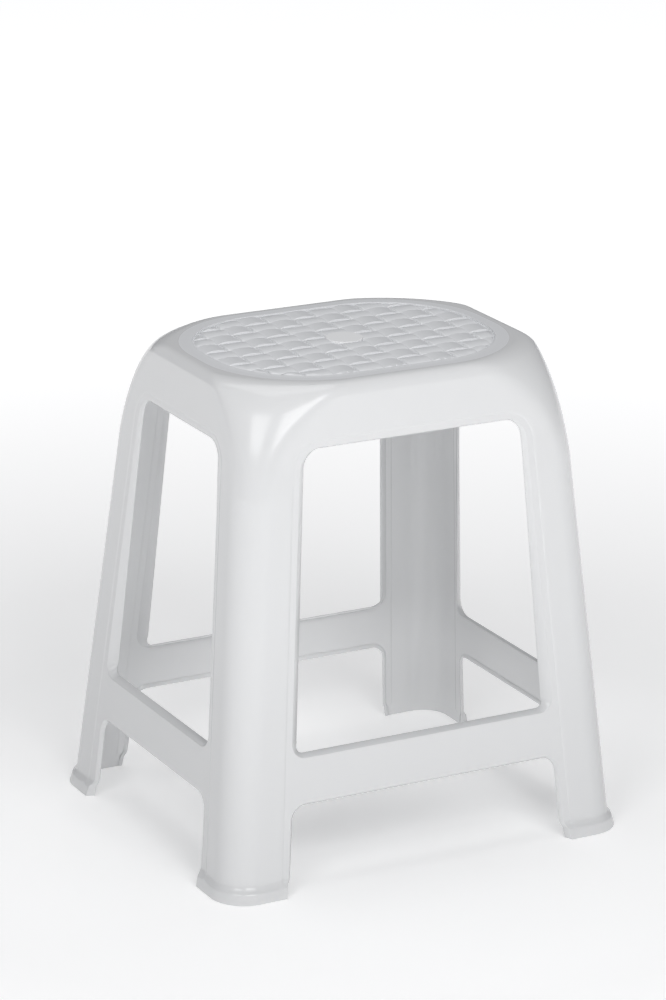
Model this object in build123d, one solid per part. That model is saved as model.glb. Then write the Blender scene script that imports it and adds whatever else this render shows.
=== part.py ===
from build123d import *
import math
import os

# A one-piece injection-moulded stool, in millimetres: +Z up, origin on the floor
# under the middle of the seat, long side along X, front face towards -Y.
# The moulding is cut into named regions that meet face to face.

# Driving dimensions: outer skin of the four leaning faces
SEAT_HEIGHT = 450.0
FLOOR_HALF_WIDTH = 201.6
FLOOR_HALF_DEPTH = 172.9
SIDE_LEAN = 0.0891
FRONT_LEAN = 0.1052
WALL = 2.8

# Corner rounding: constant along the leg, opening out towards the seat
LEG_CORNER_RADIUS = 28.0
ARCH_START_Z = 355.0
ARCH_HALF_WIDTH_FRONT = 90.0
ARCH_HALF_WIDTH_SIDE = 58.0
TANGENT_CUT = 1.0 - math.sqrt(0.5)
TOP_CORNER_CUT = 0.36
EDGE_RADIUS = 12.0

# Openings between the legs: upper windows above the stretchers, feet gaps below
WINDOW_TOP_Z = 397.0
WINDOW_BOTTOM_Z = 122.0
WINDOW_TOP_RADIUS = 20.0
WINDOW_BOTTOM_RADIUS = 15.0
FRONT_WINDOW_TOP_HALF = 113.5
FRONT_WINDOW_BOTTOM_HALF = 134.8
SIDE_WINDOW_TOP_HALF = 79.5
SIDE_WINDOW_BOTTOM_HALF = 107.0
STRETCHER_BOTTOM_Z = 81.7
FRONT_GAP_TOP_HALF = 137.0
FRONT_GAP_FLOOR_HALF = 144.0
SIDE_GAP_TOP_HALF = 108.3
SIDE_GAP_FLOOR_HALF = 113.4
GAP_RADIUS = 15.0

# Turned-in edges of the legs: width across the face and depth into the stool
FLANGE_WIDTH_BOTTOM = 9.0
FLANGE_DEPTH_BOTTOM = 8.0
FLANGE_WIDTH_TOP = 5.0
FLANGE_DEPTH_TOP = 1.0
FLANGE_RISE_BOTTOM = 3.0
FLANGE_RISE_TOP = 2.0
GAP_FLANGE = 3.5

# Feet
FOOT_HEIGHT = 11.0
FOOT_FLARE = 5.0

# Seat
FIELD_HALF_WIDTH = 137.0
FIELD_HALF_DEPTH = 101.0
FIELD_CORNER_RADIUS = 88.0
RIM_HALF_WIDTH = 148.0
RIM_HALF_DEPTH = 112.0
RIM_CORNER_RADIUS = 98.0
FIELD_SINK = 2.4
CELL_LENGTH = 24.6
CELL_WIDTH = 21.7
STRIP_RISE = 2.2
PAD_GAP = 1.2
SMALLEST_PAD = 20.0
BOSS_RADIUS = 17.0
BOSS_PROUD = 0.8

# Seams between the named regions
STRETCHER_SEAM_X = 114.0
STRETCHER_SEAM_Y = 86.0
STRETCHER_ZONE_TOP_Z = 200.0
LEG_TOP_Z = 372.0
APRON_SEAM_X = 90.0
APRON_SEAM_Y = 56.0

# Heights where the lofted skin changes slope, and turns of the rounded top edge in degrees
ARCH_HEIGHTS = (385.0, 408.0, 424.0)
EDGE_TURNS = (25.0, 50.0, 72.0, 90.0)

# How far cutting tools run past the moulding
OVERSHOOT = 10.0
REACH = 260.0
TOOL_DEPTH = 40.0
LOWEST_RIM_Z = 430.0


def half_width(z):
    return FLOOR_HALF_WIDTH - SIDE_LEAN * z


def half_depth(z):
    return FLOOR_HALF_DEPTH - FRONT_LEAN * z


def arch_share(z):
    """How far the corner has opened out at this height, 0 on the leg, 1 at the seat."""
    rise = (z - ARCH_START_Z) / (SEAT_HEIGHT - ARCH_START_Z)
    rise = min(max(rise, 0.0), 1.0)
    return 1.0 - math.sqrt(1.0 - rise * rise)


def edge_inset(z, top):
    """How far the rounded top edge has drawn in at this height."""
    start = top - EDGE_RADIUS
    if z <= start:
        return 0.0
    return EDGE_RADIUS - math.sqrt(max(EDGE_RADIUS ** 2 - (z - start) ** 2, 0.0))


def section(z, offset, top, shape_z):
    """Closed outline at height z: four straight sides joined by bulging corner arcs."""
    inset = offset + edge_inset(z, top)
    half_x = half_width(shape_z) - inset
    half_y = half_depth(shape_z) - inset
    share = arch_share(shape_z)
    corner = max(LEG_CORNER_RADIUS - offset, 4.0)
    run_x = min(corner + ARCH_HALF_WIDTH_FRONT * share, half_x - 20.0)
    run_y = min(corner + ARCH_HALF_WIDTH_SIDE * share, half_y - 20.0)
    cut = TANGENT_CUT + (TOP_CORNER_CUT - TANGENT_CUT) * share
    mid_x = half_x - cut * run_x
    mid_y = half_y - cut * run_y
    end_x = half_x - run_x
    end_y = half_y - run_y
    edges = []
    for sx, sy in ((1, 1), (-1, 1), (-1, -1), (1, -1)):
        on_side = (sx * half_x, sy * end_y, z)
        middle = (sx * mid_x, sy * mid_y, z)
        on_front = (sx * end_x, sy * half_y, z)
        if sx * sy > 0:
            edges.append(ThreePointArc(on_side, middle, on_front))
        else:
            edges.append(ThreePointArc(on_front, middle, on_side))
    wire_edges = []
    for index, arc in enumerate(edges):
        following = edges[(index + 1) % 4]
        wire_edges.append(arc)
        wire_edges.append(Line(arc @ 1, following @ 0))
    return Wire(wire_edges)


def loaf(offset, bottom, top):
    """Solid bounded by the skin moved inwards by offset, from bottom up to top."""
    edge_start = top - EDGE_RADIUS
    heights = [bottom, ARCH_START_Z, *ARCH_HEIGHTS, edge_start]
    for turn in EDGE_TURNS:
        heights.append(edge_start + EDGE_RADIUS * math.sin(math.radians(turn)))
    wires = [section(z, offset, top, min(z + offset, SEAT_HEIGHT)) for z in heights]
    return Solid.make_loft(wires, ruled=True)


def opening_sheet(outline, radii, floor_reach, lean, depth_low, depth_high):
    """Rounded outline on a leaning plane set back from the front face.

    outline holds (x, z) corners, floor_reach and lean describe the face, and the set-back
    changes evenly from depth_low at the window's bottom to depth_high at its top.
    """
    depth_slope = (depth_high - depth_low) / (WINDOW_TOP_Z - WINDOW_BOTTOM_Z)
    slope = lean + depth_slope
    start_y = -floor_reach + depth_low - depth_slope * WINDOW_BOTTOM_Z
    plane = Plane(origin=(0, start_y, 0), x_dir=(1, 0, 0), z_dir=(0, -1, slope))
    stretch = math.hypot(1.0, slope)
    points = [(x, z * stretch) for x, z in outline]
    wire = FilletPolyline(*points, radius=radii, close=True).wire()
    return plane.location * wire


def grown(outline, sideways, upwards, downwards):
    """Four-cornered outline with each corner moved outwards (or inwards if negative)."""
    middle_z = sum(z for x, z in outline) / len(outline)
    corners = []
    for x, z in outline:
        shift_x = sideways(z) if x > 0 else -sideways(z)
        shift_z = upwards if z > middle_z else -downwards
        corners.append((x + shift_x, z + shift_z))
    return corners


def flange_share(z):
    """0 at the window's bottom and below it, 1 at the window's top."""
    share = (z - WINDOW_BOTTOM_Z) / (WINDOW_TOP_Z - WINDOW_BOTTOM_Z)
    return min(max(share, 0.0), 1.0)


def flange_width(z):
    share = flange_share(z)
    return FLANGE_WIDTH_BOTTOM + (FLANGE_WIDTH_TOP - FLANGE_WIDTH_BOTTOM) * share


def window_tools(top_half, bottom_half, floor_reach, lean):
    """The liner that turns the window's edge inwards, and the solid that cuts its hole."""
    outline = [
        (-bottom_half, WINDOW_BOTTOM_Z),
        (bottom_half, WINDOW_BOTTOM_Z),
        (top_half, WINDOW_TOP_Z),
        (-top_half, WINDOW_TOP_Z),
    ]
    radii = [WINDOW_BOTTOM_RADIUS, WINDOW_BOTTOM_RADIUS, WINDOW_TOP_RADIUS, WINDOW_TOP_RADIUS]
    tip = grown(outline, lambda z: -flange_width(z), -FLANGE_RISE_TOP, -FLANGE_RISE_BOTTOM)
    face_args = (floor_reach, lean)
    return liner_tools(outline, tip, radii, face_args, FLANGE_DEPTH_BOTTOM, FLANGE_DEPTH_TOP)


def gap_tools(top_half, floor_half, floor_reach, lean):
    """The liner and the cutter for the gap between two feet, open at the floor."""
    below = 3 * OVERSHOOT
    spread = (floor_half - top_half) / STRETCHER_BOTTOM_Z
    outline = [
        (-floor_half - spread * below, -below),
        (floor_half + spread * below, -below),
        (top_half, STRETCHER_BOTTOM_Z),
        (-top_half, STRETCHER_BOTTOM_Z),
    ]
    radii = [GAP_RADIUS / 2, GAP_RADIUS / 2, GAP_RADIUS, GAP_RADIUS]
    tip = grown(outline, lambda z: -GAP_FLANGE, -GAP_FLANGE, 0.0)
    return liner_tools(outline, tip, radii, (floor_reach, lean), GAP_FLANGE, GAP_FLANGE)


def liner_tools(outline, tip, radii, face_args, depth_low, depth_high):
    near = opening_sheet(outline, radii, *face_args, 0.0, 0.0)
    far = opening_sheet(tip, radii, *face_args, depth_low, depth_high)
    wide_radii = [radius + WALL for radius in radii]
    wide_outline = grown(outline, lambda z: WALL, WALL, WALL)
    wide_tip = grown(tip, lambda z: WALL, WALL, WALL)
    wide_near = opening_sheet(wide_outline, wide_radii, *face_args, 0.0, 0.0)
    wide_far = opening_sheet(wide_tip, wide_radii, *face_args, depth_low, depth_high)
    hole = Solid.make_loft([near, far], ruled=True)
    liner = Solid.make_loft([wide_near, wide_far], ruled=True)
    liner_outwards = extrude(make_face(wide_near), amount=TOOL_DEPTH, dir=(0, -1, 0))
    outwards = extrude(make_face(near), amount=TOOL_DEPTH, dir=(0, -1, 0))
    inwards = extrude(make_face(far), amount=TOOL_DEPTH, dir=(0, 1, 0))
    return liner + liner_outwards, hole + outwards + inwards


def block(low, high):
    """Box from its lowest corner to its highest corner."""
    size = [b - a for a, b in zip(low, high)]
    return Pos(*low) * Box(*size, align=(Align.MIN, Align.MIN, Align.MIN))


def foot(liners, cutters):
    """Front left foot: the flared lowest part of the leg."""
    outer = Solid.make_loft(
        [
            section(0.0, -FOOT_FLARE, SEAT_HEIGHT, 0.0),
            section(FOOT_HEIGHT, 0.0, SEAT_HEIGHT, FOOT_HEIGHT),
        ],
        ruled=True,
    )
    inner = Solid.make_loft(
        [
            section(-1.0, WALL - FOOT_FLARE, SEAT_HEIGHT, 0.0),
            section(FOOT_HEIGHT + 1.0, WALL, SEAT_HEIGHT, FOOT_HEIGHT),
        ],
        ruled=True,
    )
    ring = outer - inner
    for liner in liners:
        ring = ring + (liner & outer)
    for cutter in cutters:
        ring = ring - cutter
    return ring & block((-REACH, -REACH, 0), (-STRETCHER_SEAM_X, -STRETCHER_SEAM_Y, FOOT_HEIGHT))


def rounded_plate(half_x, half_y, radius, low, high):
    outline = RectangleRounded(2 * half_x, 2 * half_y, radius)
    return Pos(0, 0, low) * extrude(outline, high - low)


def arched_pad(x, y, floor_z, length, width, turned):
    """Part of a strip that arches up where it runs over the strip crossing it."""
    crown = (length ** 2 / 4 + STRIP_RISE ** 2) / (2 * STRIP_RISE)
    arch = Pos(0, 0, STRIP_RISE - crown) * Rot(90, 0, 0) * Cylinder(crown, width)
    arch = arch & block((-length, -width, 0), (length, width, 2 * STRIP_RISE))
    return Pos(x, y, floor_z) * Rot(0, 0, 90 * turned) * arch


def weave_pads(floor_z):
    """Checkerboard of pads, where the lengthwise and the crosswise strips come up in turn."""
    inside = rounded_plate(
        FIELD_HALF_WIDTH - PAD_GAP,
        FIELD_HALF_DEPTH - PAD_GAP,
        FIELD_CORNER_RADIUS,
        floor_z,
        floor_z + 2 * STRIP_RISE,
    )
    inside = inside - Pos(0, 0, floor_z) * Cylinder(BOSS_RADIUS + PAD_GAP, 4 * STRIP_RISE)
    columns = int(FIELD_HALF_WIDTH // CELL_LENGTH) + 1
    rows = int(FIELD_HALF_DEPTH // CELL_WIDTH) + 1
    long_side = CELL_LENGTH - PAD_GAP
    short_side = CELL_WIDTH - PAD_GAP
    pads = []
    for column in range(-columns, columns + 1):
        for row in range(-rows, rows + 1):
            x = column * CELL_LENGTH
            y = row * CELL_WIDTH
            if (column + row) % 2:
                pad = arched_pad(x, y, floor_z, short_side, long_side, 1)
            else:
                pad = arched_pad(x, y, floor_z, long_side, short_side, 0)
            pads.extend(kept for kept in (pad & inside).solids() if kept.volume > SMALLEST_PAD)
    return pads


def seat_panel():
    """Sunk field of the seat with the raised pads of the moulded basket weave."""
    floor_z = SEAT_HEIGHT - FIELD_SINK
    plate = rounded_plate(
        FIELD_HALF_WIDTH, FIELD_HALF_DEPTH, FIELD_CORNER_RADIUS, floor_z - WALL, floor_z
    )
    plate = plate - Pos(0, 0, floor_z - WALL / 2) * Cylinder(BOSS_RADIUS, 2 * WALL)
    return plate + weave_pads(floor_z)


def centre_boss():
    low = SEAT_HEIGHT - FIELD_SINK - WALL
    high = SEAT_HEIGHT + BOSS_PROUD
    boss = Pos(0, 0, (low + high) / 2) * Cylinder(BOSS_RADIUS, high - low)
    top_edge = boss.edges().group_by(Axis.Z)[-1]
    return fillet(top_edge, 0.5)


def save(shape, node):
    export_step(shape, "parts/" + node + ".step")


def opening_tools():
    """Liners and cutters of the front and back openings, then of the two sides' openings."""
    front_face = (FLOOR_HALF_DEPTH, FRONT_LEAN)
    side_face = (FLOOR_HALF_WIDTH, SIDE_LEAN)
    front = [
        window_tools(FRONT_WINDOW_TOP_HALF, FRONT_WINDOW_BOTTOM_HALF, *front_face),
        gap_tools(FRONT_GAP_TOP_HALF, FRONT_GAP_FLOOR_HALF, *front_face),
    ]
    side = [
        window_tools(SIDE_WINDOW_TOP_HALF, SIDE_WINDOW_BOTTOM_HALF, *side_face),
        gap_tools(SIDE_GAP_TOP_HALF, SIDE_GAP_FLOOR_HALF, *side_face),
    ]
    liners = [liner for liner, cutter in front]
    cutters = [cutter for liner, cutter in front]
    to_side = Rot(0, 0, -90)
    liners.extend(to_side * liner for liner, cutter in side)
    cutters.extend(to_side * cutter for liner, cutter in side)
    return liners, cutters


def moulded_skin(liners, cutters):
    """Hollow shell of the stool with its openings and their turned-in edges."""
    outer = loaf(0.0, 0.0, SEAT_HEIGHT)
    inner = loaf(WALL, -OVERSHOOT, SEAT_HEIGHT - WALL)
    skin = outer - inner
    for liner in liners:
        skin = skin + (liner & outer)
    for cutter in cutters:
        skin = skin - cutter
    return skin


def save_seat(skin, rim_prism):
    over = SEAT_HEIGHT + OVERSHOOT
    field = rounded_plate(
        FIELD_HALF_WIDTH, FIELD_HALF_DEPTH, FIELD_CORNER_RADIUS, LOWEST_RIM_Z, over
    )
    save((skin & rim_prism) - field, "seat_rim")
    save(seat_panel(), "seat_panel")
    save(centre_boss(), "centre_boss")


def save_aprons(upper):
    over = SEAT_HEIGHT + OVERSHOOT
    front = upper & block((-APRON_SEAM_X, -REACH, LEG_TOP_Z), (APRON_SEAM_X, 0, over))
    left = upper & block((-REACH, -APRON_SEAM_Y, LEG_TOP_Z), (0, APRON_SEAM_Y, over))
    save(front, "front_apron")
    save(mirror(front, about=Plane.XZ), "back_apron")
    save(left, "left_apron")
    save(mirror(left, about=Plane.YZ), "right_apron")


def save_stretchers(skin):
    low = FOOT_HEIGHT
    high = STRETCHER_ZONE_TOP_Z
    front = skin & block((-STRETCHER_SEAM_X, -REACH, low), (STRETCHER_SEAM_X, 0, high))
    left = skin & block((-REACH, -STRETCHER_SEAM_Y, low), (0, STRETCHER_SEAM_Y, high))
    save(front, "front_stretcher")
    save(mirror(front, about=Plane.XZ), "back_stretcher")
    save(left, "left_stretcher")
    save(mirror(left, about=Plane.YZ), "right_stretcher")


def save_corner(shape, name):
    """The front left corner's shape and its three mirror images."""
    back = mirror(shape, about=Plane.XZ)
    save(shape, name + "_front_left")
    save(mirror(shape, about=Plane.YZ), name + "_front_right")
    save(back, name + "_back_left")
    save(mirror(back, about=Plane.YZ), name + "_back_right")


def main():
    os.makedirs("parts", exist_ok=True)
    over = SEAT_HEIGHT + OVERSHOOT
    liners, cutters = opening_tools()
    skin = moulded_skin(liners, cutters)
    rim_prism = rounded_plate(
        RIM_HALF_WIDTH, RIM_HALF_DEPTH, RIM_CORNER_RADIUS, LOWEST_RIM_Z, over
    )
    save_seat(skin, rim_prism)
    upper = skin - rim_prism
    save_aprons(upper)
    save_stretchers(skin)

    corner_low = (-REACH, -REACH, LEG_TOP_Z)
    save_corner(upper & block(corner_low, (-APRON_SEAM_X, -APRON_SEAM_Y, over)), "shoulder")
    beside_stretchers = (-STRETCHER_SEAM_X, -STRETCHER_SEAM_Y, STRETCHER_ZONE_TOP_Z)
    leg_zone = block((-REACH, -REACH, FOOT_HEIGHT), beside_stretchers)
    beside_windows = (-APRON_SEAM_X, -APRON_SEAM_Y, LEG_TOP_Z)
    leg_zone = leg_zone + block((-REACH, -REACH, STRETCHER_ZONE_TOP_Z), beside_windows)
    save_corner(skin & leg_zone, "leg")
    gap_liners = liners[1::2]
    gap_cutters = cutters[1::2]
    save_corner(foot(gap_liners, gap_cutters), "foot")


main()
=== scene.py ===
import math

import bmesh
import bpy
import numpy as np
from mathutils import Matrix, Vector
from mathutils.geometry import delaunay_2d_cdt


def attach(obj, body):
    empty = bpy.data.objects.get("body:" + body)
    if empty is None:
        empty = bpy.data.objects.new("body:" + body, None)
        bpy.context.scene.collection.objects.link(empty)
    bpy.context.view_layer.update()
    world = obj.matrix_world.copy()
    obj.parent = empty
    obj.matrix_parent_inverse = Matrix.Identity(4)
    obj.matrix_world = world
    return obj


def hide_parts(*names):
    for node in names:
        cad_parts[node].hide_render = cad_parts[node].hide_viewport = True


# A white one-piece moulded stool. The skin is worked out in millimetres in the quarter
# where x and y are positive, then mirrored to the four corners and scaled to metres.
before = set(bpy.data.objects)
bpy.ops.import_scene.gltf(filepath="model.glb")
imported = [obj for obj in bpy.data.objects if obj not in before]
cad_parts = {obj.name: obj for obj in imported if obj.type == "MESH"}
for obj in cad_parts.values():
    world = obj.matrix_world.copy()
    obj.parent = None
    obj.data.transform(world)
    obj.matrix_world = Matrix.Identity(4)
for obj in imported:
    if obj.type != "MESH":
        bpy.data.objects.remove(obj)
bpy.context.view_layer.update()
MM = 0.001

# Outer skin: four leaning faces, corners that open out towards the seat
SEAT_HEIGHT = 450.0
FLOOR_HALF_WIDTH = 201.6
FLOOR_HALF_DEPTH = 172.9
SIDE_LEAN = 0.0891
FRONT_LEAN = 0.1052
WALL = 2.8
LEG_CORNER_RADIUS = 28.0
ARCH_START_Z = 355.0
ARCH_WIDTH_FRONT = 90.0
ARCH_WIDTH_SIDE = 58.0
CORNER_FLATNESS = 0.47
CREASE_BLEND = 2.5
CREASE_BLEND_RISE = 0.3
FRONT_EDGE_RADIUS = 12.0
SIDE_EDGE_RADIUS = 10.0
CORNER_EDGE_RADIUS = 7.0

# Foot lip
LIP_HEIGHT = 10.0
LIP_SWEEP = 6.0
LIP_FLARE = 5.0
LIP_TOP_FLARE = 3.4
LIP_CLEARANCE = 1.0

# Windows, and gaps between the feet
WINDOW_BOTTOM_Z = 122.0
WINDOW_TOP_Z = 397.0
WINDOW_SHAPE = {
    "top": WINDOW_TOP_Z,
    "top_radius": 20.0,
    "bottom": WINDOW_BOTTOM_Z,
    "bottom_radius": 15.0,
}
GAP_TOP_Z = 81.7
GAP_RADIUS = 15.0

# Recessed band around the openings
RECESS_DEPTH = 0.7
RECESS_RAMP = 2.4
RAMP_OFFSETS = (-RECESS_RAMP / 2, 0.0, RECESS_RAMP / 2)
RECESS_GUIDE_Z = 400.0
RECESS_TOP_Z = 403.0
RECESS_RADIUS = 26.0

# Turned-in edges: how far they reach into the opening and into the stool. Pairs are for
# the bottom and the top of a window's upright sides.
FLANGE_WIDTH = (9.0, 5.0)
FLANGE_DEPTH = (8.0, 1.4)
SILL_WIDTH = 3.0
HEAD_WIDTH = 2.0
GAP_FLANGE = 3.5
FLANGE_WALL = 1.9
FLANGE_LEAD = 0.8
TIP_BACK = 0.5
TIP_IN = 0.4
FLANGE_ROOT = 1.2
ROOT_REACH = 6.0

# Inner skin: the wall is measured level near the floor, and across the skin higher up
LEVEL_WALL_Z = 20.0
LEVEL_WALL_FADE = 60.0
FLAT_FACING = 0.9
FLAT_FADE = 0.08

# Seams between the named regions, as distances from the middle of a face
STRETCHER_SEAMS = {"front": 114.0, "side": 86.0}
APRON_SEAMS = {"front": 90.0, "side": 56.0}
LEG_TOP_Z = 372.0

# Seat: a flat rim, a woven field sunk into it, and a round disc in the middle
RIM_STRAIGHT_X = 50.0
RIM_STRAIGHT_Y = 14.0
RIM_RADIUS = 98.0
RIM_SHARES = (0.0, 0.25, 0.5, 0.75, 0.92)
BEVEL = 0.5
BEVEL_TURNS = (0.0, 30.0, 60.0, 90.0)
PANEL_THICKNESS = 2.8
FIELD_HALF_WIDTH = 136.0
FIELD_HALF_DEPTH = 100.0
FIELD_RADIUS = 88.0
FIELD_SINK = 1.6
CELL_X = 24.6
CELL_Y = 21.7
CELLS_EACH_WAY = 7
CELL_STEPS = (0.0, 0.25, 0.6, 1.0, 1.5, 3.5, 6.0)
MIDDLE_STEP = 0.01
STRIP_RISE = 2.2
STRIP_EDGE = 1.3
STRIP_FULLNESS = 0.6
OUTLINE_FADE = 4.0
RING_SHARES = (0.17, 0.34)
GRID_SHARE = 0.45
BOSS_RADIUS = 17.0
BOSS_PROUD = 0.8
BOSS_ROOT = 0.6
BOSS_EDGE = 0.5
BOSS_SEGMENTS = 64

# The skin is unrolled over the angle around the corner and the height. Over TURN_START_Z
# the rays that find it tilt: their aim climbs outside the rim's line, then comes back.
UNROLL_RADIUS = 150.0
TURN_START_Z = 410.0
TURN_SPAN = 57.0
AIM_ROOM = 18.0
AIM_ROOM_CORNER = 30.0
SKIN_REACH = 160.0
TOP_REACH = 60.0
HALVINGS = 42
SLOPE_STEP = 0.05
OPENING_SLOPE_STEP = 0.01
TINY = 1e-6

# Mesh: spacing, and how near its points come to lines, marks and seams that are kept
GRID = 3.0
FINE_GRID = 2.0
ROW_SHARE = 0.87
CLEAR_SHARE = 0.45
CLEAR_OF_MARK = 0.7
CLEAR_OF_SEAM = 0.3
CLEAR_OF_CORNER = 0.1
WELD_DISTANCE = 1e-3
CDT_INSIDE = 1
CDT_TOLERANCE = 1e-5
LOW_CORNER_STEPS = 9
TOP_CORNER_STEPS = 11
RECESS_CORNER_STEPS = 15


class Opening:
    """A window or a gap between feet on one leaning face, in (across, height).

    Low and high are the height and the half width at two places on its side.
    """

    def __init__(self, low, high, top, top_radius, bottom=None, bottom_radius=0.0):
        (low_z, low_half), (high_z, high_half) = low, high
        self.taper = (low_half - high_half) / (high_z - low_z)
        self.floor_half = low_half + self.taper * low_z
        self.top = top
        self.top_radius = top_radius
        self.bottom = bottom
        self.bottom_radius = bottom_radius
        self.stretch = math.hypot(1.0, self.taper)

    def half(self, z):
        return self.floor_half - self.taper * z

    def distance(self, across, z):
        """Signed distance to the outline, negative inside the opening."""
        side = (across - self.half(z)) / self.stretch
        away = rounded_max(side, z - self.top, self.top_radius)
        if self.bottom is not None:
            away = np.maximum(away, rounded_max(side, self.bottom - z, self.bottom_radius))
        return away

    def corner(self, offset, at_top, steps):
        """Points round one corner of the outline moved by offset, from flat to side."""
        radius = self.top_radius if at_top else self.bottom_radius
        turns = np.linspace(math.pi / 2, 0.0, steps)
        out = (radius + offset) * np.cos(turns) - radius
        up = (radius + offset) * np.sin(turns) - radius
        z = self.top + up if at_top else self.bottom - up
        return np.column_stack([self.half(z) + out * self.stretch, z])

    def side_at(self, offset, z):
        """How far from the middle the side is, once the outline is moved by offset."""
        return self.half(z) + offset * self.stretch


def rounded_max(a, b, radius):
    """Where two surfaces' distances meet, with the edge between them rounded."""
    u = a + radius
    v = b + radius
    outside = np.hypot(np.maximum(u, 0.0), np.maximum(v, 0.0))
    return outside + np.minimum(np.maximum(u, v), 0.0) - radius


def soft_max(a, b, width):
    """The larger of two distances, with a soft change from one to the other."""
    share = np.maximum(width - np.abs(a - b), 0.0) / np.maximum(width, TINY)
    return np.maximum(a, b) + share * share * width / 4.0


def smooth(t):
    """Smooth step from 0 to 1."""
    t = np.clip(t, 0.0, 1.0)
    return t * t * (3.0 - 2.0 * t)


def unit(rows):
    """Each row scaled to length 1."""
    return rows / np.linalg.norm(rows, axis=1)[:, None]


def at_level(places, level):
    """Places with one more coordinate, the same for all."""
    return np.column_stack([places, np.full(len(places), level)])


WINDOWS = {
    "front": Opening((WINDOW_BOTTOM_Z, 134.8), (WINDOW_TOP_Z, 113.5), **WINDOW_SHAPE),
    "side": Opening((WINDOW_BOTTOM_Z, 107.0), (WINDOW_TOP_Z, 79.5), **WINDOW_SHAPE),
}
GAPS = {
    "front": Opening((0.0, 144.0), (GAP_TOP_Z, 137.0), GAP_TOP_Z, GAP_RADIUS),
    "side": Opening((0.0, 113.4), (GAP_TOP_Z, 108.3), GAP_TOP_Z, GAP_RADIUS),
}
OPENINGS = {"window": WINDOWS, "gap": GAPS}
RECESSES = {
    "front": Opening((0.0, 150.2), (RECESS_GUIDE_Z, 119.4), RECESS_TOP_Z, RECESS_RADIUS),
    "side": Opening((0.0, 125.3), (RECESS_GUIDE_Z, 85.0), RECESS_TOP_Z, RECESS_RADIUS),
}


def half_width(z):
    return FLOOR_HALF_WIDTH - SIDE_LEAN * z


def half_depth(z):
    return FLOOR_HALF_DEPTH - FRONT_LEAN * z


def lip_flare(z):
    """How far the foot's lip stands out from the leg's face."""
    sweep = np.clip((LIP_HEIGHT + LIP_SWEEP - z) / LIP_SWEEP, 0.0, 1.0)
    band = np.clip((LIP_HEIGHT - z) / LIP_HEIGHT, 0.0, 1.0)
    return LIP_TOP_FLARE * sweep**2 + (LIP_FLARE - LIP_TOP_FLARE) * band


def recess(face, across, z):
    """How deep the band around the openings lies under the face."""
    inside = (RECESS_RAMP / 2 - RECESSES[face].distance(across, z)) / RECESS_RAMP
    return RECESS_DEPTH * smooth(inside) * smooth((z - LIP_HEIGHT) / LIP_SWEEP)


def skin(points):
    """Signed distance to the outer skin, for points with x and y not below zero."""
    x, y, z = points[:, 0], points[:, 1], points[:, 2]
    width = half_width(z)
    depth = half_depth(z)
    flare = lip_flare(z)
    rise = np.clip((z - ARCH_START_Z) / (SEAT_HEIGHT - ARCH_START_Z), 0.0, 1.0)
    share = 1.0 - np.sqrt(1.0 - rise * rise)
    front = y - depth + recess("front", x, z) - flare
    side = x - width + recess("side", y, z) - flare
    top = z - SEAT_HEIGHT
    gap_x = LEG_CORNER_RADIUS + ARCH_WIDTH_FRONT * share
    gap_y = LEG_CORNER_RADIUS + ARCH_WIDTH_SIDE * share
    lift = CORNER_FLATNESS * rise
    a = np.maximum((x - width + gap_x) / gap_x + lift, TINY)
    b = np.maximum((y - depth + gap_y) / gap_y + lift, TINY)
    reach = np.hypot(a, b)
    steepness = np.hypot(a / gap_x, b / gap_y) / reach
    corner = (reach - np.hypot(lift, 1.0 + lift)) / steepness - flare
    faces = np.maximum(
        rounded_max(front, top, FRONT_EDGE_RADIUS),
        rounded_max(side, top, SIDE_EDGE_RADIUS),
    )
    shoulder = rounded_max(corner, top, CORNER_EDGE_RADIUS)
    blend = CREASE_BLEND * np.minimum(rise / CREASE_BLEND_RISE, 1.0)
    return soft_max(faces, shoulder, blend)


def hit(origins, directions, reach):
    """Where rays from inside the stool cross the skin."""
    near = np.zeros(len(origins))
    far = np.full(len(origins), reach)
    for _ in range(HALVINGS):
        middle = (near + far) / 2
        outside = skin(origins + directions * middle[:, None]) > 0.0
        far = np.where(outside, middle, far)
        near = np.where(outside, near, middle)
    return origins + directions * near[:, None]


def skin_normals(points):
    slopes = []
    for axis in range(3):
        shift = np.zeros(3)
        shift[axis] = SLOPE_STEP
        slopes.append(skin(points + shift) - skin(points - shift))
    return unit(np.column_stack(slopes))


QUARTER_TURN = UNROLL_RADIUS * math.pi / 2
UNROLLED_LENGTH = RIM_STRAIGHT_X + QUARTER_TURN + RIM_STRAIGHT_Y
UNROLLED_TOP = TURN_START_Z + TURN_SPAN


def unroll(x, y):
    """Place along the unrolled skin of the upright ray that passes over (x, y)."""
    angle = np.arctan2(np.maximum(y - RIM_STRAIGHT_Y, 0.0), np.maximum(x - RIM_STRAIGHT_X, 0.0))
    along = RIM_STRAIGHT_X + (math.pi / 2 - angle) * UNROLL_RADIUS
    along = np.where(x <= RIM_STRAIGHT_X, x, along)
    return np.where(y <= RIM_STRAIGHT_Y, UNROLLED_LENGTH - y, along)


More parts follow.
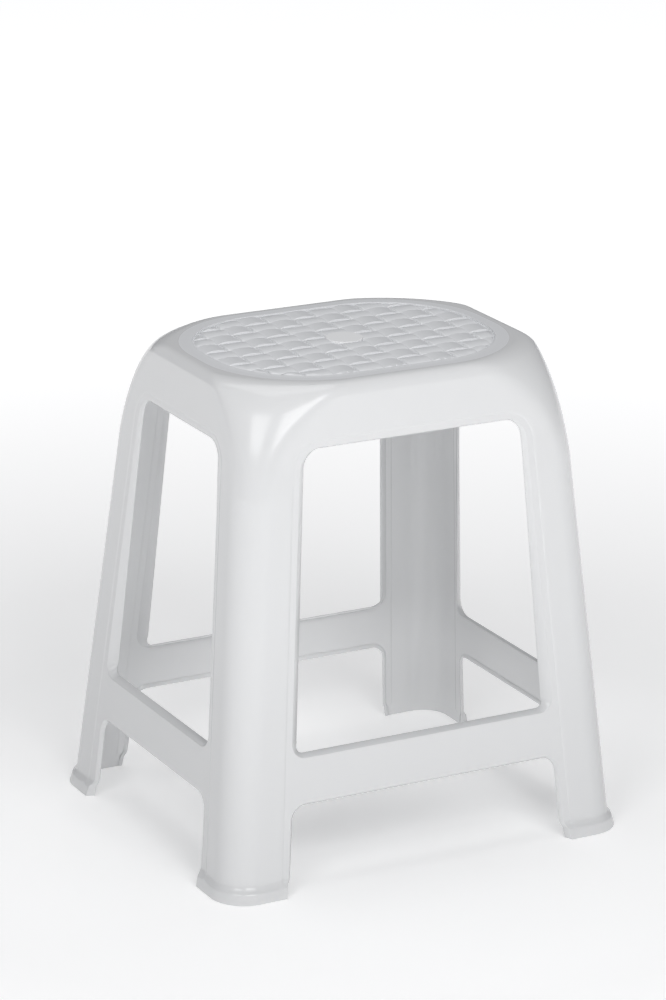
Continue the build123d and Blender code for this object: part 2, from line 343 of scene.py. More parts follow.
def rolled(flat):
    """The skin's points over unrolled places (along, up)."""
    along, up = flat[:, 0], flat[:, 1]
    turn = np.clip((along - RIM_STRAIGHT_X) / UNROLL_RADIUS, 0.0, math.pi / 2)
    out_x = np.sin(turn)
    out_y = np.cos(turn)
    past = np.maximum(along - RIM_STRAIGHT_X - QUARTER_TURN, 0.0)
    base_x = np.minimum(along, RIM_STRAIGHT_X) + RIM_RADIUS * out_x
    base_y = RIM_STRAIGHT_Y - past + RIM_RADIUS * out_y
    room = AIM_ROOM + AIM_ROOM_CORNER * np.sin(2.0 * turn) ** 2
    rise = SEAT_HEIGHT - TURN_START_Z
    step = np.clip((up - TURN_START_Z) / TURN_SPAN, 0.0, 1.0) * (rise + room)
    tilt = np.where(
        step < rise,
        np.arctan2(step, room),
        np.arctan2(rise, np.maximum(room + rise - step, 0.0)),
    )
    origins = np.column_stack([base_x, base_y, np.minimum(up, TURN_START_Z)])
    directions = np.column_stack([out_x * np.cos(tilt), out_y * np.cos(tilt), np.sin(tilt)])
    return hit(origins, directions, SKIN_REACH)


def on_face(face, across, z):
    """Unrolled place of a point on the front or the side face."""
    if face == "front":
        return np.column_stack([unroll(across, half_depth(z)), z])
    return np.column_stack([unroll(half_width(z), across), z])


def spread(start, end, spacing):
    """Even steps from start to end, as near to the spacing as they can be."""
    count = max(int(round(abs(end - start) / spacing)), 1)
    return np.linspace(start, end, count + 1)


def with_values(values, extra):
    """Sorted values with some exact ones put in place of their near neighbours."""
    kept = [v for v in values if all(abs(v - e) > CLEAR_OF_MARK for e in extra)]
    return np.array(sorted(kept + list(extra)))


def window_edge(face, part):
    """The window's outline from the middle of its bottom up to the middle of its top."""
    window = WINDOWS[face]
    seam = STRETCHER_SEAMS[face]
    apron = APRON_SEAMS[face]
    low_corner = window.corner(0.0, False, LOW_CORNER_STEPS)
    top_corner = window.corner(0.0, True, TOP_CORNER_STEPS)[::-1]
    if part == "stretcher":
        points = at_level(spread(0.0, seam, GRID), window.bottom)
    elif part == "leg":
        flat = at_level(spread(seam, low_corner[0, 0], GRID)[:-1], window.bottom)
        z = spread(low_corner[-1, 1], LEG_TOP_Z, GRID)[1:]
        points = np.vstack([flat, low_corner, np.column_stack([window.half(z), z])])
    elif part == "shoulder":
        z = spread(LEG_TOP_Z, top_corner[0, 1], FINE_GRID)[:-1]
        side = np.column_stack([window.half(z), z])
        flat = at_level(spread(top_corner[-1, 0], apron, GRID)[1:], window.top)
        points = np.vstack([side, top_corner, flat])
    else:
        points = at_level(spread(apron, 0.0, GRID), window.top)
    return on_face(face, points[:, 0], points[:, 1])


def gap_edge(face, part):
    """The gap's outline from the middle of its top down to the floor."""
    gap = GAPS[face]
    seam = STRETCHER_SEAMS[face]
    corner = gap.corner(0.0, True, LOW_CORNER_STEPS)
    if part == "stretcher":
        points = at_level(spread(0.0, seam, GRID), gap.top)
    else:
        flat = at_level(spread(seam, corner[0, 0], GRID)[:-1], gap.top)
        z = with_values(spread(corner[-1, 1], 0.0, GRID), (LIP_HEIGHT,))[::-1]
        z = z[z < corner[-1, 1] - CLEAR_OF_CORNER]
        points = np.vstack([flat, corner, np.column_stack([gap.half(z), z])])
    return on_face(face, points[:, 0], points[:, 1])


def level_seam(z):
    """Across the corner at one height, between the openings of the two faces."""
    ends = []
    marks = []
    for face in ("front", "side"):
        opening = WINDOWS[face] if z > WINDOWS[face].bottom else GAPS[face]
        ends.append(on_face(face, opening.half(np.array([z])), np.array([z]))[0, 0])
        for offset in RAMP_OFFSETS:
            across = RECESSES[face].side_at(offset, np.array([z]))
            marks.append(on_face(face, across, np.array([z]))[0, 0])
    along = with_values(spread(ends[0], ends[1], FINE_GRID)[1:-1], marks)
    return at_level(np.concatenate([[ends[0]], along, [ends[1]]]), z)


def apron_seam(face, across):
    """From the window's top up and over the edge to the seat's rim."""
    marks = [RECESSES[face].top + offset for offset in RAMP_OFFSETS]
    z = with_values(spread(WINDOWS[face].top, TURN_START_Z, FINE_GRID), marks)
    lower = on_face(face, np.full(len(z), across), z)
    up = spread(TURN_START_Z, UNROLLED_TOP, FINE_GRID)[1:]
    return np.vstack([lower, np.column_stack([np.full(len(up), lower[-1, 0]), up])])


def stretcher_seam(face, across):
    """From the gap's top up to the window's bottom."""
    z = spread(GAPS[face].top, WINDOWS[face].bottom, GRID)
    return on_face(face, np.full(len(z), across), z)


def rim_line(start, end):
    """The edge between the unrolled skin and the seat's rim."""
    return at_level(spread(start, end, FINE_GRID), UNROLLED_TOP)


def recess_lines(face):
    """The two edges and the middle of the ramp around the recess, cut by region later."""
    ring = RECESSES[face]
    lines = []
    for offset in RAMP_OFFSETS:
        corner = ring.corner(offset, True, RECESS_CORNER_STEPS)
        across = with_values(spread(0.0, corner[0, 0], GRID)[:-1], (APRON_SEAMS[face],))
        z = with_values(spread(corner[-1, 1], 0.0, GRID), (LEG_TOP_Z,))[::-1]
        z = z[z < corner[-1, 1] - CLEAR_OF_CORNER]
        side = np.column_stack([ring.side_at(offset, z), z])
        points = np.vstack([at_level(across, ring.top + offset), corner, side])
        lines.append(on_face(face, points[:, 0], points[:, 1]))
    return lines


def inside_polygon(points, polygon):
    """Which points lie inside a closed polygon."""
    x, y = points[:, 0], points[:, 1]
    inside = np.zeros(len(points), bool)
    for (ax, ay), (bx, by) in zip(polygon, np.roll(polygon, -1, axis=0)):
        if ay == by:
            continue
        crosses = (ay > y) != (by > y)
        inside ^= crosses & (x < (bx - ax) * (y - ay) / (by - ay) + ax)
    return inside


def distance_to_lines(points, segments):
    """Shortest distance from each point to a set of segments."""
    best = np.full(len(points), np.inf)
    for start, end in segments:
        run = end - start
        length = max(float(run @ run), TINY)
        share = np.clip(((points - start) @ run) / length, 0.0, 1.0)
        gap = points - start - share[:, None] * run
        best = np.minimum(best, np.hypot(gap[:, 0], gap[:, 1]))
    return best


def delaunay(flat, edges):
    """Triangles that keep to the edges: their places, corners, and each point's place."""
    vectors = [Vector(p) for p in flat]
    found = delaunay_2d_cdt(vectors, edges, [], CDT_INSIDE, CDT_TOLERANCE, True)
    places = np.array([tuple(v) for v in found[0]])
    origin = {old: new for new, olds in enumerate(found[3]) for old in olds}
    return places, found[2], origin


def staggered_grid(low, high, spacing):
    """Points in rows, with every other row moved by half a step."""
    grid = []
    rows = int((high[1] - low[1]) / (spacing * ROW_SHARE)) + 1
    for row in range(rows):
        x = np.arange(low[0] + spacing * (0.5 if row % 2 else 0.0), high[0], spacing)
        grid.append(at_level(x, low[1] + row * spacing * ROW_SHARE))
    return np.vstack(grid)


def triangulate(boundary, lines, spacing):
    """Triangles inside a closed boundary that keep to the given lines."""
    points = [boundary]
    count = len(boundary)
    edges = [(i, (i + 1) % count) for i in range(count)]
    segments = [(boundary[a], boundary[b]) for a, b in edges]
    total = count
    for line in lines:
        segments.extend(zip(line[:-1], line[1:]))
        edges.extend((total + i, total + i + 1) for i in range(len(line) - 1))
        points.append(line)
        total += len(line)
    grid = staggered_grid(boundary.min(axis=0), boundary.max(axis=0), spacing)
    grid = grid[inside_polygon(grid, boundary)]
    points.append(grid[distance_to_lines(grid, segments) > spacing * CLEAR_SHARE])
    places, faces, origin = delaunay(np.vstack(points), edges)
    loop = [origin[i] for i in range(count)]
    faces = np.array([tuple(f) for f in faces])
    kept = inside_polygon(places[faces].mean(axis=1), boundary)
    return places, [tuple(f) for f in faces[kept]], loop


def clipped(lines, boundary):
    """Runs of the lines inside the boundary, with ends that fall on its corners kept."""
    runs = []
    closed = list(zip(boundary, np.roll(boundary, -1, axis=0)))
    for line in lines:
        clear = inside_polygon(line, boundary) & (distance_to_lines(line, closed) > CLEAR_OF_SEAM)
        gaps = np.linalg.norm(line[:, None] - boundary[None], axis=2).min(axis=1)
        kept = clear | (gaps < TINY)
        start = None
        for index, keep in enumerate(list(kept) + [False]):
            if keep and start is None:
                start = index
            if not keep and start is not None:
                if index - start > 1:
                    runs.append(line[start:index])
                start = None
    return runs


def face_axes(face):
    """Which coordinate runs across the face, and its inward direction."""
    if face == "front":
        return 0, np.array([0.0, -1.0, 0.0])
    return 1, np.array([-1.0, 0.0, 0.0])


def opening_slope(opening, axis, points):
    """Direction in the face that leads straight away from the opening."""
    step = OPENING_SLOPE_STEP
    z = points[:, 2]
    across = points[:, axis]
    away = np.zeros((len(points), 3))
    away[:, axis] = opening.distance(across + step, z) - opening.distance(across - step, z)
    away[:, 2] = opening.distance(across, z + step) - opening.distance(across, z - step)
    return away / np.maximum(np.linalg.norm(away, axis=1), TINY)[:, None]


def flange_size(opening, into, z):
    """Width, depth and wall of the turned-in edge, where into leads into the opening."""
    if opening.bottom is None:
        flare = lip_flare(z)
        return np.full(len(z), GAP_FLANGE), GAP_FLANGE + flare, WALL + flare
    share = np.clip((z - opening.bottom) / (opening.top - opening.bottom), 0.0, 1.0)
    upright = 1.0 - into[:, 2] ** 2
    flat_width = np.where(into[:, 2] > 0.0, SILL_WIDTH, HEAD_WIDTH)
    side_width = FLANGE_WIDTH[0] + (FLANGE_WIDTH[1] - FLANGE_WIDTH[0]) * share
    width = side_width * upright + flat_width * (1.0 - upright)
    depth = FLANGE_DEPTH[0] + (FLANGE_DEPTH[1] - FLANGE_DEPTH[0]) * share
    return width, depth, np.full(len(z), WALL)


def flange_chain(face, opening, points):
    """Profile of the turned-in edge at each point, from the skin round the tip, and its normals."""
    axis, inward = face_axes(face)
    into = -opening_slope(opening, axis, points)
    width, depth, wall = flange_size(opening, into, points[:, 2])
    tip = np.column_stack([width, depth])
    run = unit(tip)
    back = np.column_stack([-run[:, 1], run[:, 0]])
    start = np.zeros_like(tip)
    root = np.column_stack([np.full(len(tip), -FLANGE_ROOT), wall])
    profile = [
        start,
        start + FLANGE_LEAD * run,
        tip - TIP_BACK * run,
        tip + TIP_IN * back,
        tip + (FLANGE_WALL - TIP_IN) * back,
        tip + FLANGE_WALL * back - TIP_BACK * run,
        root + FLANGE_LEAD * run,
        root,
    ]
    places = []
    normals = []
    for index in range(1, len(profile) - 1):
        before = unit(profile[index] - profile[index - 1])
        after = unit(profile[index + 1] - profile[index])
        turned = before + after
        facing = unit(np.column_stack([turned[:, 1], -turned[:, 0]]))
        local = profile[index]
        place = points + into * local[:, :1] + inward * local[:, 1:]
        place[:, 2] = np.maximum(place[:, 2], 0.0)
        places.append(place)
        normals.append(into * facing[:, :1] + inward * facing[:, 1:])
    return np.stack(places, axis=1), np.stack(normals, axis=1)


def inner_skin(points, normals):
    """The skin moved in by the wall, set back from the openings' edges, and its normals.

    The foot's lip is solid, so the inner side runs straight down to the floor.
    """
    inward = normals.copy()
    inward[:, 2] *= smooth((points[:, 2] - LEVEL_WALL_Z) / LEVEL_WALL_FADE)
    inward = unit(inward)
    shift = np.zeros_like(points)
    for openings in OPENINGS.values():
        for face, opening in openings.items():
            axis, into_stool = face_axes(face)
            flat = np.clip((-(normals @ into_stool) - FLAT_FACING) / FLAT_FADE, 0.0, 1.0)
            away = opening.distance(points[:, axis], points[:, 2])
            near = np.clip(1.0 - away / ROOT_REACH, 0.0, 1.0) * flat * FLANGE_ROOT
            shift += opening_slope(opening, axis, points) * near[:, None]
    inner = points - (WALL + lip_flare(points[:, 2]))[:, None] * inward + shift
    inner[:, 2] = np.maximum(inner[:, 2], 0.0)
    facing = -normals
    beside_lip = points[:, 2] < LIP_HEIGHT + LIP_SWEEP + LIP_CLEARANCE
    facing[beside_lip, 2] = -SIDE_LEAN
    return inner, unit(facing)


class Shell:
    """Vertices, normals and faces of one closed piece, in millimetres."""

    def __init__(self):
        self.vertices = np.zeros((0, 3))
        self.normals = np.zeros((0, 3))
        self.faces = []
        self.flat = []

    def add_vertices(self, vertices, normals):
        """Adds vertices and gives the index of the first."""
        start = len(self.vertices)
        self.vertices = np.vstack([self.vertices, vertices])
        self.normals = np.vstack([self.normals, normals])
        return start

    def add_face(self, face, flat=False):
        """Adds a face, shaded flat or with its vertices' normals."""
        self.faces.append(tuple(int(i) for i in face))
        self.flat.append(flat)

    def mirrored(self, sign_x, sign_y):
        other = Shell()
        signs = np.array([sign_x, sign_y, 1.0])
        other.vertices = self.vertices * signs
        other.normals = self.normals * signs
        other.faces = [face[::-1] if sign_x * sign_y < 0 else face for face in self.faces]
        other.flat = list(self.flat)
        return other

    def joined_with_mirror(self, axis):
        """Both halves of a piece that crosses the middle, welded where they meet."""
        signs = (-1.0, 1.0) if axis == 0 else (1.0, -1.0)
        other = self.mirrored(*signs)
        on_middle = np.abs(self.vertices[:, axis]) < WELD_DISTANCE
        self.vertices[on_middle, axis] = 0.0
        places = np.zeros(len(self.vertices), int)
        places[on_middle] = np.flatnonzero(on_middle)
        places[~on_middle] = len(self.vertices) + np.arange(int((~on_middle).sum()))
        self.add_vertices(other.vertices[~on_middle], other.normals[~on_middle])
        for face, flat in zip(other.faces, other.flat):
            self.add_face([places[i] for i in face], flat)
        return self


def labelled_boundary(parts):
    """Points of a closed boundary, and a label for the edge that starts at each."""
    boundary = []
    labels = []
    for points, label in parts:
        for point in points[:-1]:
            boundary.append(point)
            labels.append(label)
    return np.array(boundary), labels


def add_flanges(shell, outer, loop, labels):
    """Turned-in edges: for each place at an opening, its vertices from outer to inner skin."""
    chains = {}
    for index, label in enumerate(labels):
        if not isinstance(label, tuple):
            continue
        kind, face = label
        for place in (index, (index + 1) % len(loop)):
            if place in chains:
                continue
            vertex = loop[place]
            places, directions = flange_chain(face, OPENINGS[kind][face], outer[vertex][None])
            start = shell.add_vertices(places[0], directions[0])
            chains[place] = [vertex, *range(start, start + len(places[0])), vertex + len(outer)]
    return chains


def add_edges(shell, loop, labels, chains, inner_start):
    """Faces that close the piece between its outer and inner skin."""
    for index, label in enumerate(labels):
        if label == "middle":
            continue
        after = (index + 1) % len(loop)
        before = labels[index - 1]
        at_opening = isinstance(label, tuple)
        if at_opening:
            first = chains[index]
            second = chains[after]
            for k in range(len(first) - 1):
                shell.add_face([first[k], first[k + 1], second[k + 1], second[k]])
        else:
            a, b = loop[index], loop[after]
            shell.add_face([a, a + inner_start, b + inner_start, b], True)
        if at_opening != isinstance(before, tuple) and before != "middle":
            shell.add_face(chains[index], True)


def quarter_shell(parts, spacing, lines):
    """A closed piece of the skin from its labelled boundary on the unrolled skin."""
    boundary, labels = labelled_boundary(parts)
    flat, faces, loop = triangulate(boundary, clipped(lines, boundary), spacing)
    outer = rolled(flat)
    normals = skin_normals(outer)
    shell = Shell()
    shell.add_vertices(outer, normals)
    inner_start = shell.add_vertices(*inner_skin(outer, normals))
    corners = outer[list(faces[0])]
    facing = np.cross(corners[1] - corners[0], corners[2] - corners[0])
    turned = facing @ normals[faces[0][0]] < 0
    for face in faces:
        outward = face[::-1] if turned else face
        shell.add_face(outward)
        shell.add_face([i + inner_start for i in outward[::-1]])
    chains = add_flanges(shell, outer, loop, labels)
    add_edges(shell, loop, labels, chains, inner_start)
    return shell


def turn_outwards(mesh):
    """Makes every face of a closed mesh look out of it."""
    work = bmesh.new()
    work.from_mesh(mesh)
    bmesh.ops.recalc_face_normals(work, faces=work.faces)
    work.to_mesh(mesh)
    work.free()
    mesh.update()


def make_object(name, shell, material, nodes):
    """A mesh object in metres that takes the place of the named nodes."""
    mesh = bpy.data.meshes.new(name)
    mesh.from_pydata([tuple(v) for v in shell.vertices * MM], [], shell.faces)
    turn_outwards(mesh)
    mesh.polygons.foreach_set("use_smooth", [True] * len(mesh.polygons))
    normals = []
    for polygon, flat in zip(mesh.polygons, shell.flat):
        for index in polygon.vertices:
            normals.append(tuple(polygon.normal) if flat else tuple(shell.normals[index]))
    mesh.normals_split_custom_set(normals)
    mesh.materials.append(material)
    thing = bpy.data.objects.new(name, mesh)
    bpy.context.scene.collection.objects.link(thing)
    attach(thing, "root")
    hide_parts(*nodes)
    return thing


def leg_parts():
    """Boundary of a leg with its foot."""
    return [
        (gap_edge("front", "leg"), ("gap", "front")),
        (level_seam(0.0), "floor"),
        (gap_edge("side", "leg")[::-1], ("gap", "side")),
        (stretcher_seam("side", STRETCHER_SEAMS["side"]), "seam"),
        (window_edge("side", "leg"), ("window", "side")),
        (level_seam(LEG_TOP_Z)[::-1], "seam"),
        (window_edge("front", "leg")[::-1], ("window", "front")),
        (stretcher_seam("front", STRETCHER_SEAMS["front"])[::-1], "seam"),
    ]


def shoulder_parts():
    """Boundary of the curved corner between a leg and the seat's rim."""
    front_seam = apron_seam("front", APRON_SEAMS["front"])
    side_seam = apron_seam("side", APRON_SEAMS["side"])
    return [
        (window_edge("front", "shoulder"), ("window", "front")),
        (front_seam, "seam"),
        (rim_line(front_seam[-1, 0], side_seam[-1, 0]), "rim"),
        (side_seam[::-1], "seam"),
        (window_edge("side", "shoulder")[::-1], ("window", "side")),
        (level_seam(LEG_TOP_Z)[::-1], "seam"),
    ]


def apron_parts(face):
    """Boundary of half an apron, from the middle of the face to the shoulder."""
    seam = apron_seam(face, APRON_SEAMS[face])
    middle = apron_seam(face, 0.0)
    return [
        (window_edge(face, "apron"), ("window", face)),
        (middle, "middle"),
        (rim_line(middle[-1, 0], seam[-1, 0]), "rim"),
        (seam[::-1], "seam"),
    ]


def stretcher_parts(face):
    """Boundary of half a stretcher, from the middle of the face to the leg."""
    return [
        (gap_edge(face, "stretcher"), ("gap", face)),
        (stretcher_seam(face, STRETCHER_SEAMS[face]), "seam"),
        (window_edge(face, "stretcher")[::-1], ("window", face)),
        (stretcher_seam(face, 0.0)[::-1], "middle"),
    ]


def rounded_outline(half_x, half_y, radius, along):
    """Points of a rounded rectangle that match places along the unrolled rim."""
    turn = np.clip((along - RIM_STRAIGHT_X) / UNROLL_RADIUS, 0.0, math.pi / 2)
    past = np.clip((along - RIM_STRAIGHT_X - QUARTER_TURN) / RIM_STRAIGHT_Y, 0.0, 1.0)
    before = np.clip(along / RIM_STRAIGHT_X, 0.0, 1.0)
    x = (half_x - radius) * before + radius * np.sin(turn)
    y = (half_y - radius) * (1.0 - past) + radius * np.cos(turn)
    return np.column_stack([x, y])


def whole_loop(quarter):
    """Four mirrored copies of the quarter's points, in order round the seat."""
    back_right = quarter
    front_right = quarter[::-1] * np.array([1.0, -1.0])
    front_left = quarter * np.array([-1.0, -1.0])
    back_left = quarter[::-1] * np.array([-1.0, 1.0])
    parts = (back_right, front_right, front_left, back_left)
    return np.vstack([part[:-1] for part in parts])


def field_loop(inset, along):
    """Outline of the woven field, moved in by the inset."""
    sizes = (FIELD_HALF_WIDTH - inset, FIELD_HALF_DEPTH - inset, FIELD_RADIUS - inset)
    return whole_loop(rounded_outline(*sizes, along))


def over_skin(plan):
    """Points of the skin straight above places in plan, with their normals."""
    origins = at_level(np.abs(plan), TURN_START_Z)
    upwards = np.tile(np.array([0.0, 0.0, 1.0]), (len(plan), 1))
    found = hit(origins, upwards, TOP_REACH)
    normals = skin_normals(found)
    signs = at_level(np.where(plan < 0.0, -1.0, 1.0), 1.0)
    return found * signs, normals * signs


def ring_shell(rows, normals):
    """Closed tube from rows of points, each row a loop round the seat.

    The faces round its last two rows are shaded flat.
    """
    shell = Shell()
    size = len(rows[0])
    for row, row_normals in zip(rows, normals):
        shell.add_vertices(row, row_normals)
    count = len(rows)
    for j in range(count):
        for i in range(size):
            a = j * size + i
            b = j * size + (i + 1) % size
            c = ((j + 1) % count) * size + (i + 1) % size
            d = ((j + 1) % count) * size + i
            shell.add_face([a, b, c, d], j >= count - 3)
    return shell


def rim_shell():
    """Flat ring between the skin's rounded edge and the woven field."""
    first = apron_seam("front", APRON_SEAMS["front"])[-1, 0]
    second = apron_seam("side", APRON_SEAMS["side"])[-1, 0]
    along = np.concatenate([
        spread(0.0, first, FINE_GRID)[:-1],
        spread(first, second, FINE_GRID)[:-1],
        spread(second, UNROLLED_LENGTH, FINE_GRID),
    ])
    rim_sizes = (RIM_STRAIGHT_X + RIM_RADIUS, RIM_STRAIGHT_Y + RIM_RADIUS, RIM_RADIUS)
    outer = whole_loop(rounded_outline(*rim_sizes, along))
    field = field_loop(0.0, along)
    inwards = unit(field - outer)
    rows = []
    normals = []
    for share in RIM_SHARES:
        row, row_normals = over_skin(outer + (field - outer) * share)
        rows.append(row)
        normals.append(row_normals)
    upwards = np.tile(np.array([0.0, 0.0, 1.0]), (len(field), 1))
    level = at_level(inwards, 0.0)
    for turn in BEVEL_TURNS:
        angle = math.radians(turn)
        plan = field - inwards * BEVEL * (1.0 - math.sin(angle))
        rows.append(at_level(plan, SEAT_HEIGHT - BEVEL * (1.0 - math.cos(angle))))
        normals.append(upwards * math.cos(angle) + level * math.sin(angle))
    rows.append(at_level(field, SEAT_HEIGHT - FIELD_SINK - PANEL_THICKNESS))
    normals.append(level)
    rows.append(rows[0] - WALL * normals[0])
    normals.append(-normals[0])
    return ring_shell(rows, normals)


def strip_edge(distance):
    """Rounded free edge of a strip: 0 at its side, 1 once past the rounding."""
    share = np.clip(distance / STRIP_EDGE, 0.0, 1.0)
    return np.sqrt(1.0 - (1.0 - share) ** 2)


def dip(share):
    """How a strip rises over its cell: 0 where it goes under at the ends, 1 halfway."""
    return np.clip(np.cos(math.pi * share), 0.0, 1.0) ** STRIP_FULLNESS


def weave_height(x, y):
    """Height of the basket weave over its lowest level."""
    column = np.round(x / CELL_X)
    row = np.round(y / CELL_Y)
    u = x - column * CELL_X
    v = y - row * CELL_Y
    lengthwise = dip(u / CELL_X) * strip_edge(CELL_Y / 2 - np.abs(v))
    crosswise = dip(v / CELL_Y) * strip_edge(CELL_X / 2 - np.abs(u))
    on_top = (column + row) % 2 == 0
    height = STRIP_RISE * np.where(on_top, lengthwise, crosswise)
    side_x = np.abs(x) - FIELD_HALF_WIDTH
    side_y = np.abs(y) - FIELD_HALF_DEPTH
    return height * smooth(-rounded_max(side_x, side_y, FIELD_RADIUS) / OUTLINE_FADE)


def weave_normals(x, y):
    slope_x = weave_height(x + SLOPE_STEP, y) - weave_height(x - SLOPE_STEP, y)
    slope_y = weave_height(x, y + SLOPE_STEP) - weave_height(x, y - SLOPE_STEP)
    return unit(at_level(np.column_stack([-slope_x, -slope_y]), 2 * SLOPE_STEP))


def cell_marks(cell):
    """Places of the grid's lines along one direction, closest where the strips meet."""
    marks = []
    for index in range(-CELLS_EACH_WAY, CELLS_EACH_WAY + 1):
        for step in (*CELL_STEPS, cell / 2 - MIDDLE_STEP):
            marks.append((index + 0.5) * cell + step)
            marks.append((index + 0.5) * cell - step)
    return np.unique(np.round(marks, 3))


def panel_shell():
    """The woven field, closed underneath."""
    along = spread(0.0, UNROLLED_LENGTH, FINE_GRID)
    outline = field_loop(0.0, along)
    rings = [field_loop(share * OUTLINE_FADE, along) for share in RING_SHARES]
    x, y = np.meshgrid(cell_marks(CELL_X), cell_marks(CELL_Y))
    grid = np.column_stack([x.ravel(), y.ravel()])
    grid = grid[inside_polygon(grid, outline)]
    closed = list(zip(outline, np.roll(outline, -1, axis=0)))
    grid = grid[distance_to_lines(grid, closed) > GRID_SHARE * OUTLINE_FADE]
    size = len(outline)
    edges = [(i, (i + 1) % size) for i in range(size)]
    places, faces, origin = delaunay(np.vstack([outline, *rings, grid]), edges)
    x, y = places[:, 0], places[:, 1]
    floor_z = SEAT_HEIGHT - FIELD_SINK
    shell = Shell()
    shell.add_vertices(np.column_stack([places, floor_z + weave_height(x, y)]), weave_normals(x, y))
    downwards = np.tile(np.array([0.0, 0.0, -1.0]), (size, 1))
    base = shell.add_vertices(at_level(outline, floor_z - PANEL_THICKNESS), downwards)
    for face in faces:
        a, b, c = (places[i] for i in face)
        area = (b[0] - a[0]) * (c[1] - a[1]) - (b[1] - a[1]) * (c[0] - a[0])
        shell.add_face(face if area > 0.0 else face[::-1])
    for i in range(size):
        j = (i + 1) % size
        shell.add_face([origin[i], origin[j], base + j, base + i], True)
    shell.add_face(range(base, base + size), True)
    return shell


def boss_shell():
    """Plain round disc in the middle of the field."""
    low = SEAT_HEIGHT - FIELD_SINK - PANEL_THICKNESS + BOSS_ROOT
    high = SEAT_HEIGHT + BOSS_PROUD
    edge_radius = BOSS_RADIUS - BOSS_EDGE
    edge_z = high - BOSS_EDGE
    profile = [(BOSS_RADIUS, low, 1.0, 0.0)]
    for turn in BEVEL_TURNS:
        out = math.cos(math.radians(turn))
        up = math.sin(math.radians(turn))
        profile.append((edge_radius + BOSS_EDGE * out, edge_z + BOSS_EDGE * up, out, up))
    profile.append((BOSS_RADIUS / 2, high, 0.0, 1.0))
    shell = Shell()
    size = BOSS_SEGMENTS
    turns = np.arange(size) * 2.0 * math.pi / size
    circle = np.column_stack([np.cos(turns), np.sin(turns)])
    for radius, z, out, up in profile:
        shell.add_vertices(at_level(radius * circle, z), at_level(out * circle, up))
    for j in range(len(profile) - 1):
        for i in range(size):
            a = j * size + i
            b = j * size + (i + 1) % size
            shell.add_face([a, b, b + size, a + size])
    last = (len(profile) - 1) * size
    shell.add_face(range(last, last + size))
    shell.add_face(range(size - 1, -1, -1), True)
    return shell


# Materials: white polypropylene, glossy on the legs and finely grained on the seat
CLOUD_SCALE = 9.0
CLOUD_DETAIL = 3.0
TINT_SHARE = 0.99
ROUGHNESS_RANGE = (0.9, 1.1)
GRAIN_DETAIL = 4.0
GRAIN_HEIGHT = 0.0002
PLASTIC_IOR = 1.49


def plastic(name, colour, roughness, bump_scale, bump_strength):
    """White plastic with a faint unevenness of tint and gloss, and a fine grain."""
    material = bpy.data.materials.new(name)
    material.use_nodes = True
    nodes = material.node_tree.nodes
    links = material.node_tree.links
    shader = nodes["Principled BSDF"]
    shader.inputs["IOR"].default_value = PLASTIC_IOR
    place = nodes.new("ShaderNodeTexCoord")
    cloud = nodes.new("ShaderNodeTexNoise")
    cloud.inputs["Scale"].default_value = CLOUD_SCALE
    cloud.inputs["Detail"].default_value = CLOUD_DETAIL
    links.new(place.outputs["Object"], cloud.inputs["Vector"])
    tint = nodes.new("ShaderNodeMix")
    tint.data_type = "RGBA"
    tint.inputs["A"].default_value = (*colour, 1.0)
    tint.inputs["B"].default_value = (*[c * TINT_SHARE for c in colour], 1.0)
    links.new(cloud.outputs["Fac"], tint.inputs["Factor"])
    links.new(tint.outputs["Result"], shader.inputs["Base Color"])
    gloss = nodes.new("ShaderNodeMapRange")
    gloss.inputs["To Min"].default_value = roughness * ROUGHNESS_RANGE[0]
    gloss.inputs["To Max"].default_value = roughness * ROUGHNESS_RANGE[1]
    links.new(cloud.outputs["Fac"], gloss.inputs["Value"])
    links.new(gloss.outputs["Result"], shader.inputs["Roughness"])
    grain = nodes.new("ShaderNodeTexNoise")
    grain.inputs["Scale"].default_value = bump_scale
    grain.inputs["Detail"].default_value = GRAIN_DETAIL
    links.new(place.outputs["Object"], grain.inputs["Vector"])
    bump = nodes.new("ShaderNodeBump")
    bump.inputs["Strength"].default_value = bump_strength
    bump.inputs["Distance"].default_value = GRAIN_HEIGHT
    links.new(grain.outputs["Fac"], bump.inputs["Height"])
    links.new(bump.outputs["Normal"], shader.inputs["Normal"])
    return material


shell_white = plastic("white_gloss", (0.79, 0.795, 0.80), 0.17, 25.0, 0.02)
seat_white = plastic("white_matt_grain", (0.84, 0.85, 0.865), 0.34, 900.0, 0.08)
# The disc is the same white plastic as the rest of the stool; its colour is set brighter to paint in
# a reflection of the bright floor and background.
disc_painted_reflection_white = plastic("white_smooth_painted_reflection", (0.95, 0.955, 0.96), 0.5, 25.0, 0.02)

CORNERS = {
    "back_right": (1.0, 1.0),
    "back_left": (-1.0, 1.0),
    "front_right": (1.0, -1.0),
    "front_left": (-1.0, -1.0),
}
SIDES = {
    "front": (("back", (1.0, 1.0)), ("front", (1.0, -1.0))),
    "side": (("right", (1.0, 1.0)), ("left", (-1.0, 1.0))),
}

recess_edges = recess_lines("front") + recess_lines("side")
leg = quarter_shell(leg_parts(), GRID, recess_edges)
shoulder = quarter_shell(shoulder_parts(), FINE_GRID, recess_edges)
for corner, signs in CORNERS.items():
    replaced = ("leg_" + corner, "foot_" + corner)
    make_object("leg_" + corner + "_skin", leg.mirrored(*signs), shell_white, replaced)
    replaced = ("shoulder_" + corner,)
    skin_piece = shoulder.mirrored(*signs)
    make_object("shoulder_" + corner + "_skin", skin_piece, shell_white, replaced)

for face, copies in SIDES.items():
    axis = 0 if face == "front" else 1
    apron = quarter_shell(apron_parts(face), FINE_GRID, recess_edges).joined_with_mirror(axis)
    bar = quarter_shell(stretcher_parts(face), GRID, recess_edges).joined_with_mirror(axis)
    for name, signs in copies:
        for region, shell in (("apron", apron), ("stretcher", bar)):
            node = name + "_" + region
            make_object(node + "_skin", shell.mirrored(*signs), shell_white, (node,))

